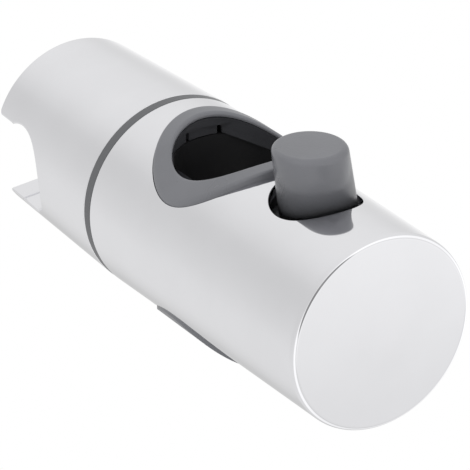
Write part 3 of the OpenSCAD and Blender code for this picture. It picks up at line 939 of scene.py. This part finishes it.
    def _open_end(self, skin: Skin) -> None:
        """Rounds the end at the ring and hollows the shell as far as the brake's window."""
        x0 = self.ring_x - self.open_edge
        inner_r = self.outside.radius(self.ring_x) - self.wall
        outer_r = self.outside.radius(self.ring_x)
        profile = [
            Bend(x0, self.outside.radius(x0)), Bend(self.ring_x, outer_r, self.open_edge),
            Bend(self.ring_x, inner_r, self.open_edge), Bend(self.back_x, inner_r),
        ]
        skin.lathe(rounded(profile), self.columns)
        turns = [2 * math.pi * i / self.columns for i in range(self.columns)]
        circle = [Vector((inner_r * math.sin(a), inner_r * math.cos(a))) for a in turns]
        heights = [self.rail_r * math.sin(a) for a in self._window_turns()]
        half_y = self.window[0]
        hole = [Vector((half_y, z)) for z in heights] + [Vector((-half_y, z)) for z in reversed(heights)]
        flat, faces = fill([circle, hole], [])
        ahead = Vector((1, 0, 0))
        for face in faces:
            skin.face([(Vector((self.back_x, flat[k].x, flat[k].y)), ahead) for k in face])


@dataclass
class Socket:
    """The handset socket's rim, sleeve and cone, in the front body's own frame, in millimetres.

    Attributes:
        x: Place of its axis along the barrel.
        rim_r: Outer radius of the rim.
        opening_r: Radius of the opening.
        saddle_r: Radius of the saddle that the rim's top follows.
        saddle_lift: Height of the saddle's axis.
    """

    x: float
    rim_r: float
    opening_r: float
    saddle_r: float
    saddle_lift: float
    foot_z: float = 8.9
    lip_r: float = 0.8
    lip_h: float = 1.05
    rim_edge: float = 0.55
    sleeve_top: float = 1.2
    sleeve_foot: float = 4.6
    sleeve_wall: float = 1.2
    foot_level: float = 0.7
    slit_w: float = 0.9
    slit_h: float = 1.7
    tabs: int = 4
    tab_angle: float = 34.0
    tab_turn: float = 2.0
    columns: int = 144

    def _saddle(self, y: float) -> float:
        """Height of the saddle at a distance from the barrel's middle."""
        return math.sqrt(self.saddle_r**2 - y * y) + self.saddle_lift

    def _foot(self, angle: float) -> float:
        """Height of the sleeve's foot, which falls with the saddle but stays level on its near side."""
        side = math.sin(angle)
        fall = self._saddle(0) - self._saddle(self.opening_r * side)
        t = min(max((-side - self.foot_level) / (1 - self.foot_level), 0), 1)
        share = 0.5 + 0.5 * side**2 if side > 0 else t * t * (3 - 2 * t)
        return self._saddle(0) - self.sleeve_foot - fall * share

    def _row(self, spot: Spot, side: float) -> list[Corner]:
        """Carries one profile point, with its radius and depth, round the opening."""
        row = []
        for i in range(self.columns):
            a = 2 * math.pi * i / self.columns
            c, s = math.cos(a), math.sin(a)
            y = spot.u * s
            lean = -y / math.sqrt(self.saddle_r**2 - y * y)
            point = Vector((self.x + spot.u * c, y, self._saddle(y) - spot.v))
            along = Vector((spot.du * c, spot.du * s, lean * spot.du * s - spot.dv))
            round_way = Vector((-s, c, lean * c))
            row.append((point, along.cross(round_way).normalized() * side))
        return row

    def rim(self, turn: Matrix) -> bpy.types.Mesh:
        """Makes the grey rim with its saddle top and rounded lip."""
        skin = Skin(turn)
        step_r = self.opening_r + self.sleeve_wall + 0.05
        profile = rounded([
            Bend(self.rim_r, 5.0), Bend(self.rim_r, 0, self.rim_edge),
            Bend(self.opening_r, 0, self.lip_r), Bend(self.opening_r, self.lip_h, 0.12),
            Bend(step_r, self.lip_h), Bend(step_r, 5.0),
        ], steps=8)
        rows = [self._row(spot, 1.0) for spot in profile]
        skin.strips(rows)
        for row in (rows[0], rows[-1]):
            out = [(point, (point - Vector((self.x, 0, point.z))).normalized()) for point, _ in row]
            sign = 1.0 if row is rows[0] else -1.0
            foot = [(Vector((point.x, point.y, self.foot_z)), way * sign) for point, way in out]
            skin.strips([[(point, way * sign) for point, way in out], foot])
            if row is rows[0]:
                outer_foot = foot
        down = Vector((0, 0, -1))
        skin.strips([[(point, down) for point, _ in ring] for ring in (outer_foot, foot)])
        return skin.mesh("socket_rim_piece")

    def sleeve(self, turn: Matrix) -> bpy.types.Mesh:
        """Makes the dark sleeve under the lip, with slits beside its catch tabs."""
        skin = Skin(turn)
        half = self.slit_w / 2 / self.opening_r
        tab = math.radians(self.tab_angle / 2)
        slits = sorted(
            (math.radians(self.tab_turn + 360 * i / self.tabs) + side * tab) % (2 * math.pi)
            for i in range(self.tabs) for side in (-1, 1)
        )
        low, high = 0.0, self.slit_h
        round_r = 0.25
        outline: list[tuple[float, float]] = []
        for k, slit in enumerate(slits):
            before = slits[k - 1] - (2 * math.pi if k == 0 else 0) + half + 0.03
            count = max(2, round((slit - half - before) / 0.05))
            outline += [(before + (slit - half - 0.03 - before) * i / count, low) for i in range(count)]
            reach = [(-half - 0.03, low), (-half - 0.008, low + 0.06), (-half, low + round_r)]
            reach += [(-half, high - 0.15), (-half * 0.6, high), (half * 0.6, high)]
            reach += [(half, high - 0.15), (half, low + round_r), (half + 0.008, low + 0.06)]
            outline += [(slit + a, depth) for a, depth in reach]
        inner = [self._at(a, depth, self.opening_r) for a, depth in outline]
        outer = [self._at(a, depth, self.opening_r + self.sleeve_wall) for a, depth in outline]
        self._side(skin, outline, self.opening_r, -1.0)
        self._side(skin, outline, self.opening_r + self.sleeve_wall, 1.0)
        count = len(outline)
        for i in range(count):
            j = (i + 1) % count
            way = (inner[j] - inner[i]).cross(outer[i] - inner[i])
            if way.length < 1e-9:
                continue
            way.normalize()
            centre = inner[i] + Vector((0, 0, 0.3))
            flip = -1.0 if way.dot(centre - inner[i]) > 0 and abs(way.z) > 0.3 else 1.0
            skin.face([(p, way * flip) for p in (inner[i], inner[j], outer[j], outer[i])])
        top = [
            [self._at(a, self._head(a), r) for a in (2 * math.pi * i / self.columns for i in range(self.columns))]
            for r in (self.opening_r, self.opening_r + self.sleeve_wall)
        ]
        up = Vector((0, 0, 1))
        skin.strips([[(point, up) for point in row] for row in top])
        return skin.mesh("socket_sleeve_piece")

    def _at(self, angle: float, rise: float, r: float) -> Vector:
        """A point of the sleeve at a height over its foot."""
        return Vector((self.x + r * math.cos(angle), r * math.sin(angle), self._foot(angle) + rise))

    def _head(self, angle: float) -> float:
        """Height of the sleeve at an angle, from its foot to its top under the lip."""
        return self._saddle(self.opening_r * math.sin(angle)) - self.sleeve_top - self._foot(angle)

    def _side(self, skin: Skin, outline: Sequence[tuple[float, float]], r: float, sign: float) -> None:
        """Fills one side of the sleeve between its top and its slit foot."""
        start = outline[0][0]
        end = start + 2 * math.pi
        step = 2 * math.pi / self.columns
        first = math.ceil(start / step - 1e-9)
        tops = [start] + [step * k for k in range(first, first + self.columns + 1) if start + 1e-6 < step * k < end - 1e-6]
        tops.append(end)
        border = [Vector((a, depth)) for a, depth in outline]
        border.append(Vector((end, outline[0][1])))
        border += [Vector((a, self._head(a))) for a in reversed(tops)]
        flat, faces = fill([border], [Vector((a, self._head(a) - 0.5)) for a in tops[1:-1]])
        for face in faces:
            corners = []
            for k in face:
                out = Vector((math.cos(flat[k].x), math.sin(flat[k].x), 0))
                corners.append((self._at(flat[k].x, flat[k].y, r), out * sign))
            skin.face(corners)

    def cone(self, turn: Matrix, top_r: float, low_r: float, wall: float) -> bpy.types.Mesh:
        """Makes the black cone that the handset's nut sits in."""
        skin = Skin(turn)
        height = self._saddle(0)

        def radius(z: float) -> float:
            return low_r + (top_r - low_r) * (z + height) / (2 * height - self.sleeve_foot)

        rows = []
        for grow, sign in ((0.0, -1.0), (wall, 1.0)):
            for level in range(13):
                t = level / 12 if sign < 0 else 1 - level / 12
                row = []
                for i in range(self.columns):
                    a = 2 * math.pi * i / self.columns
                    out = Vector((math.cos(a), math.sin(a), 0))
                    y = (top_r + grow) * out.y
                    z_top = self._foot(a) - 0.1
                    z = z_top + (0.6 - self._saddle(y) - z_top) * t
                    row.append((Vector((self.x, 0, z)) + out * (radius(z) + grow), out * sign))
                rows.append(row)
        skin.strips(rows[:13])
        skin.strips(rows[13:])
        for pair, way in (((rows[0], rows[-1]), 1), ((rows[12], rows[13]), -1)):
            skin.strips([[(point, Vector((0, 0, way))) for point, _ in row] for row in pair])
        return skin.mesh("socket_cone_piece")


@dataclass
class Button:
    """The push button: a knob that leans back, its flange, stem and cam fin, in millimetres."""

    x: float
    top_z: float
    flange_r: float
    flange_z: float
    stem_low_z: float
    knob_r: float = 7.35
    knob_top_r: float = 7.05
    knob_h: float = 8.8
    knob_edge: float = 1.15
    lean: float = 0.25
    offset: float = 0.15
    flange_t: float = 1.8
    foot_r: float = 0.5
    stem_r: float = 4.0
    bore_r: float = 2.7
    bore_top_z: float = 5.0
    fin_w: float = 7.0
    fin_ahead: float = 4.6
    cam_ratio: float = 0.35
    crown: float = 0.12

    def build(self, turn: Matrix) -> bpy.types.Mesh:
        """Makes the button's mesh.

        Args:
            turn: Turn of the front body.

        Returns:
            The mesh.
        """
        skin = Skin(turn)
        top = self.top_z + self.knob_h
        root = self.flange_z
        knob = rounded([
            Bend(self.knob_r, root), Bend(self.knob_top_r, top, self.knob_edge),
            Bend(4.0, top + self.crown * 0.7, 8.0), Bend(0.0, top + self.crown),
        ], steps=10)
        flange_low = root - self.flange_t
        body = rounded([
            Bend(self.knob_r, root), Bend(self.flange_r, root, 0.3),
            Bend(self.flange_r, flange_low, 0.3), Bend(self.stem_r, flange_low, 0.3),
            Bend(self.stem_r, self.stem_low_z, 0.3), Bend(self.bore_r, self.stem_low_z, 0.2),
            Bend(self.bore_r, self.bore_top_z), Bend(0.0, self.bore_top_z),
        ])
        for profile, leans in ((knob, True), (body, False)):
            skin.strips([self._row(spot, leans) for spot in profile])
        self._fin(skin, flange_low + 0.3)
        return skin.mesh("push_button_piece")

    def _row(self, spot: Spot, leans: bool, count: int = 96) -> list[Corner]:
        """Turns one profile point, with its radius and height, round the leaning axis."""
        leans = leans or spot.u <= self.knob_r and spot.v > self.flange_z - 0.01
        shift = self.offset - self.lean * (spot.v - self.top_z) if leans else 0
        row = []
        for i in range(count):
            a = 2 * math.pi * i / count
            out = Vector((math.cos(a), math.sin(a), 0))
            place = Vector((self.x + shift, 0, spot.v)) + out * spot.u
            along = Vector((-self.lean * spot.dv if leans else 0, 0, spot.dv)) + out * spot.du
            around = Vector((-out.y, out.x, 0))
            normal = around.cross(along).normalized()
            row.append((place, normal))
        return row

    def _fin(self, skin: Skin, top_z: float) -> None:
        """Adds the cam fin that drives the yoke."""
        nose = self.x + self.fin_ahead
        side = [(self.x, 0.0), (nose, 0.0), (nose + self.cam_ratio * top_z, top_z), (self.x, top_z)]
        half = self.fin_w / 2
        for y in (-half, half):
            skin.face([(Vector((x, y, z)), Vector((0, y, 0))) for x, z in side])
        for i in range(4):
            (x0, z0), (x1, z1) = side[i], side[(i + 1) % 4]
            way = Vector((z1 - z0, 0, x0 - x1)).normalized()
            quad = [(x0, -half, z0), (x1, -half, z1), (x1, half, z1), (x0, half, z0)]
            skin.face([(Vector(point), way) for point in quad])


@dataclass
class Fasteners:
    """Screws that one Geometry Nodes tree sets on every place of a set.

    Attributes:
        head_r: Radius of a pan head in millimetres.
        head_h: Height of the head.
        thread_r: Outer radius of the thread.
        core_r: Radius of the core.
        pitch: Rise of the thread for each turn.
    """

    head_r: float = 2.6
    head_h: float = 1.7
    thread_r: float = 1.45
    core_r: float = 1.15
    pitch: float = 1.1

    def _screw(self, length: float) -> bpy.types.Mesh:
        """Makes one screw along +X with its seat at 0, its head behind it and a ridged shank."""
        turns = int((length - 1.5) / self.pitch)
        ridges: list[Bend] = []
        for k in range(turns):
            x = 0.6 + k * self.pitch
            ridges += [Bend(x + 0.3, self.core_r), Bend(x + 0.55, self.thread_r, 0.04), Bend(x + 0.8, self.core_r)]
        outline = [
            Bend(-self.head_h, 0), Bend(-self.head_h, self.head_r, 0.7), Bend(0, self.head_r, 0.1),
            Bend(0, self.core_r), *ridges, Bend(length - 0.8, self.core_r), Bend(length, 0.4), Bend(length, 0),
        ]
        skin = Skin()
        skin.lathe(rounded(outline, steps=4), 32)
        return skin.mesh("screw")

    def set_on(self, name: str, length: float, places: Sequence[Vector], flip: bool) -> bpy.types.Mesh:
        """Puts a screw on every place.

        Args:
            name: Name of the new mesh.
            length: Length under the head in millimetres.
            places: Seat of each screw, in millimetres.
            flip: True if the screws point to -X.

        Returns:
            One mesh with all the screws.
        """
        screw = bpy.data.objects.new("screw_form", self._screw(length))
        bpy.context.scene.collection.objects.link(screw)
        points = bpy.data.meshes.new(name)
        points.from_pydata([place * MM for place in places], [], [])
        holder = bpy.data.objects.new(name, points)
        bpy.context.scene.collection.objects.link(holder)
        tree = bpy.data.node_groups.new("set_screws", "GeometryNodeTree")
        tree.interface.new_socket("Geometry", in_out="INPUT", socket_type="NodeSocketGeometry")
        form_in = tree.interface.new_socket("Form", in_out="INPUT", socket_type="NodeSocketObject")
        turn_in = tree.interface.new_socket("Turn", in_out="INPUT", socket_type="NodeSocketFloat")
        tree.interface.new_socket("Geometry", in_out="OUTPUT", socket_type="NodeSocketGeometry")
        graph = Graph(tree)
        given = graph.node("NodeGroupInput")
        form = Wire(graph, given.socket.node.outputs[1])
        turn = Wire(graph, given.socket.node.outputs[2])
        shape = graph.node("GeometryNodeObjectInfo", values={"Object": form}, out="Geometry")
        spin = graph.node("ShaderNodeCombineXYZ", values={"Z": turn})
        set_out = graph.node(
            "GeometryNodeInstanceOnPoints", values={"Points": given, "Instance": shape, "Rotation": spin}
        )
        real = graph.node("GeometryNodeRealizeInstances", values={"Geometry": set_out})
        end = graph.tree.nodes.new("NodeGroupOutput")
        graph.tree.links.new(real.socket, end.inputs[0])
        modifier = holder.modifiers.new("set_screws", "NODES")
        modifier.node_group = tree
        modifier[form_in.identifier] = screw
        modifier[turn_in.identifier] = math.pi if flip else 0.0
        bpy.context.view_layer.update()
        shown = holder.evaluated_get(bpy.context.evaluated_depsgraph_get())
        mesh = bpy.data.meshes.new_from_object(shown)
        mesh.name = name
        holder.modifiers.clear()
        for spare in (holder, screw):
            bpy.data.objects.remove(spare)
        return mesh


@dataclass
class Slider:
    """The whole part: works out the main measures from the frame and builds every piece.

    Attributes:
        bench: Where finished pieces are hung.
        swivel_rest: Angle in degrees at which the front body stands.
    """

    bench: Bench
    swivel_rest: float

    @property
    def turn(self) -> Matrix:
        """Turn of the front body."""
        return Matrix.Rotation(math.radians(-self.swivel_rest), 3, "X")

    def build(self) -> None:
        """Builds every refined piece."""
        bench = self.bench
        front_x, end_x = bench.span("front_shell")
        rear_x, ring_x = bench.span("rear_shell")
        front_r = bench.reach("front_shell", front_x - 0.1, front_x + 0.1)
        front_end_r = bench.reach("front_shell", end_x - 0.9, end_x - 0.7)
        rear_r = bench.reach("rear_shell", ring_x - 0.1, ring_x + 0.1)
        rear_end_r = bench.reach("rear_shell", rear_x + 0.5, rear_x + 0.7)
        front = Barrel(front_x, front_r, (front_end_r - front_r) / (end_x - 0.8 - front_x))
        rear = Barrel(ring_x, rear_r, (rear_r - rear_end_r) / (ring_x - rear_x - 0.6))
        rim_low, rim_high = bench.span("socket_rim")
        socket_x = (rim_low + rim_high) / 2
        rim_r = (rim_high - rim_low) / 2
        sleeve_low, sleeve_high = bench.span("socket_sleeve")
        opening_r = (sleeve_high - sleeve_low) / 2 - Socket.sleeve_wall
        spring_low, spring_high = bench.span("button_spring")
        button_x = (spring_low + spring_high) / 2
        flange_r = button_x - bench.span("push_button")[0]
        holes = (
            Hole(socket_x, rim_r + 0.1, 0.12), Hole(socket_x, rim_r + 0.1, 0.12, up=-1),
            Hole(button_x, flange_r - 1.1, 0.4),
        )
        bench.hang(FrontShell(front, front_x, end_x, holes).build(self.turn), "front_shell")
        bench.hang(RearShell(rear, rear_x, ring_x).build(), "rear_shell")
        saddle_r = front_r - 1.1
        lift = front.radius(socket_x) + 1.2 - saddle_r
        socket = Socket(socket_x, rim_r, opening_r, saddle_r, lift)
        bench.hang(socket.rim(self.turn), "socket_rim")
        bench.hang(socket.sleeve(self.turn), "socket_sleeve")
        bench.hang(socket.cone(self.turn, opening_r - 0.2, opening_r - 1.6, 1.3), "socket_cone")
        self._ring(front_r)
        self._button(front, button_x, flange_r)
        self._screws()

    def _ring(self, front_r: float) -> None:
        """Builds the grey ring between the two shells, with its edges rounded."""
        low, high = self.bench.span("swivel_ring")
        outer = self.bench.reach("swivel_ring", low, high)
        inner = front_r - 2.5
        skin = Skin()
        corners = [(low, inner, 0.0), (low, outer, 0.16), (high, outer, 0.16), (high, inner, 0.0)]
        skin.lathe(rounded([Bend(*corner) for corner in corners], closed=True), 144)
        self.bench.hang(skin.mesh("swivel_ring_piece"), "swivel_ring")

    def _button(self, front: Barrel, x: float, flange_r: float) -> None:
        """Builds the push button from the shell's height at its hole."""
        top_z = front.radius(x)
        inner_r = top_z - 2.0
        flange_z = math.sqrt(inner_r**2 - flange_r**2) - 0.5
        tilt = math.radians(self.swivel_rest)
        low_z = (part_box("push_button")[0].z / MM + Button.stem_r * math.sin(tilt)) / math.cos(tilt)
        button = Button(x, top_z, flange_r, flange_z, low_z)
        self.bench.hang(button.build(self.turn), "push_button")

    def _screws(self) -> None:
        """Sets the hub's and the chassis's screws."""
        fasteners = Fasteners()
        for node, count, first, flip in (("hub_screws", 2, 90.0, True), ("chassis_screws", 4, 45.0, False)):
            low, high = self.bench.span(node)
            reach = self.bench.reach(node, low, high) - fasteners.head_r
            seat = high - fasteners.head_h if flip else low + fasteners.head_h
            length = high - low - fasteners.head_h
            turned = 0.0 if flip else -self.swivel_rest
            angles = [math.radians(first + turned + 360 * k / count) for k in range(count)]
            places = [Vector((seat, reach * math.cos(a), reach * math.sin(a))) for a in angles]
            mesh = fasteners.set_on(f"{node}_piece", length, places, flip)
            self.bench.hang(mesh, node)


@dataclass
class Studio:
    """Camera, light and floor.

    Attributes:
        eye: Place of the camera, in metres.
        ahead: Direction in which it looks.
        up: Its upward direction.
        lens: Focal length in millimetres.
        floor_z: Height of the floor.
        end_levels: Brightness that the closed end reflects at its foot and at its top.
        end_dark: Share that is taken from the studio straight ahead of the closed end.
        end_way: Direction that the closed end reflects.
        around: Brightness of the studio by angle round the barrel's axis.
    """

    eye: Vector = field(default_factory=lambda: Vector((0.54507, -0.27635, 0.30856)))
    ahead: Vector = field(default_factory=lambda: Vector((-0.76589, 0.42866, -0.47923)))
    up: Vector = field(default_factory=lambda: Vector((-0.36348, 0.32613, 0.87264)))
    lens: float = 260.2
    floor_z: float = -0.5
    end_levels: tuple[float, float] = (0.82, 0.985)
    end_dark: float = 0.72
    end_way: tuple[float, float, float] = (0.731, 0.455, -0.508)
    around: dict[float, float] = field(
        default_factory=lambda: {
            -180: 0.76, -166: 0.79, -150: 0.95, -138: 0.93, -126: 0.69, -117: 0.62, -104: 0.6,
            -88: 0.72, -68: 0.81, -30: 0.82, -8: 0.76, 20: 0.69, 40: 0.69, 52: 0.74, 72: 0.83,
            100: 0.87, 132: 0.85, 154: 0.83, 170: 0.77, 180: 0.76,
        }
    )

    def camera(self) -> None:
        """Stands the camera where the photograph was taken from."""
        data = bpy.data.cameras.new("camera")
        data.lens = self.lens
        data.sensor_width = 36.0
        data.clip_start = 0.01
        data.clip_end = 20.0
        camera = bpy.data.objects.new("camera", data)
        bpy.context.scene.collection.objects.link(camera)
        right = self.ahead.cross(self.up).normalized()
        up = right.cross(self.ahead).normalized()
        turn = Matrix((right, up, -self.ahead.normalized())).transposed()
        camera.matrix_world = Matrix.Translation(self.eye) @ turn.to_4x4()
        bpy.context.scene.camera = camera

    def light(self, name: str, place: Sequence[float], size: tuple[float, float], watts: float) -> None:
        """Adds one soft box that looks at the part.

        Args:
            name: Name of the light.
            place: Where it stands, in metres.
            size: Width and height in metres.
            watts: Its power.
        """
        data = bpy.data.lights.new(name, "AREA")
        data.shape = "RECTANGLE"
        data.size, data.size_y = size
        data.energy = watts
        lamp = bpy.data.objects.new(name, data)
        lamp.location = place
        look = Vector((0.045, 0, 0)) - Vector(place)
        lamp.rotation_euler = look.to_track_quat("-Z", "Y").to_euler()
        lamp.visible_glossy = False
        bpy.context.scene.collection.objects.link(lamp)

    def world(self) -> None:
        """White behind the part, and a pale studio whose brightness goes round the barrel's axis."""
        world = bpy.data.worlds.new("studio")
        world.use_nodes = True
        bpy.context.scene.world = world
        graph = Graph(world.node_tree)
        way = graph.node("ShaderNodeTexCoord", out="Generated")
        parts = graph.split(way)
        turn = graph.node("ShaderNodeMath", {"operation": "ARCTAN2"}, {0: parts[2], 1: parts[1] * -1.0})
        around = turn * (0.5 / math.pi) + 0.5
        side = graph.ramp(around, self.around)
        ahead = graph.node("ShaderNodeVectorMath", {"operation": "DOT_PRODUCT"}, {0: way, 1: self.end_way}, out="Value")
        ends = ahead.fit(0.86, 0.95)
        low, high = self.end_levels
        end = parts[2].fit(self.end_way[2] - 0.035, self.end_way[2] + 0.035) * (high - low) + low
        level = graph.node("ShaderNodeMix", {"data_type": "FLOAT"}, {0: ends, 2: side, 3: end})
        bright = ahead.fit(0.3, 0.5) * (1.0 - ahead.fit(0.75, 0.9)) * 0.33
        dark = parts[0].fit(0.93, 0.965) * self.end_dark
        path = graph.node("ShaderNodeLightPath", out="Is Camera Ray")
        white = (1, 1, 1, 1)
        sky = graph.node("ShaderNodeBackground", values={"Color": white, "Strength": (level + bright) * (1.0 - dark)})
        back = graph.node("ShaderNodeBackground", values={"Color": white, "Strength": 1.0})
        both = graph.node("ShaderNodeMixShader", values={0: path, 1: sky, 2: back})
        surface = graph.tree.nodes.new("ShaderNodeOutputWorld")
        graph.tree.links.new(both.socket, surface.inputs["Surface"])

    def floor(self) -> None:
        """A plain pale floor, well below the part, which hangs on its rail."""
        mesh = bpy.data.meshes.new("floor")
        side = 3.0
        corners = [(-side, -side), (side, -side), (side, side), (-side, side)]
        mesh.from_pydata([(x, y, self.floor_z) for x, y in corners], [], [(0, 1, 2, 3)])
        floor = bpy.data.objects.new("floor", mesh)
        bpy.context.scene.collection.objects.link(floor)
        material = bpy.data.materials.new("floor")
        material.use_nodes = True
        graph = Graph(material.node_tree)
        pale = graph.node("ShaderNodeEmission", values={"Color": (1, 1, 1, 1), "Strength": 1.0})
        end = graph.tree.nodes.new("ShaderNodeOutputMaterial")
        graph.tree.links.new(pale.socket, end.inputs["Surface"])
        mesh.materials.append(material)
        floor.visible_glossy = False
        floor.visible_diffuse = False

    def build(self) -> None:
        """Sets the whole studio up."""
        self.camera()
        self.world()
        self.floor()
        self.light("key", (0.2, -0.5, 0.7), (0.5, 0.5), 2.0)
        scene = bpy.context.scene
        scene.view_settings.view_transform = "Standard"


def main() -> None:
    """Builds the whole scene."""
    logging.basicConfig(level=logging.INFO, format="%(name)s: %(message)s")
    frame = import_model()
    materials = {name: finish.build(name) for name, finish in FINISHES.items()}
    for name, node in frame["nodes"].items():
        node.data.materials.clear()
        node.data.materials.append(materials[NODE_FINISH[name]])
    swivel = next(joint for joint in frame["joints"] if joint["name"] == "swivel")
    Slider(Bench(frame, materials), sum(swivel["range_deg"]) / 2).build()
    Studio().build()


if __name__ == "__main__":
    main()
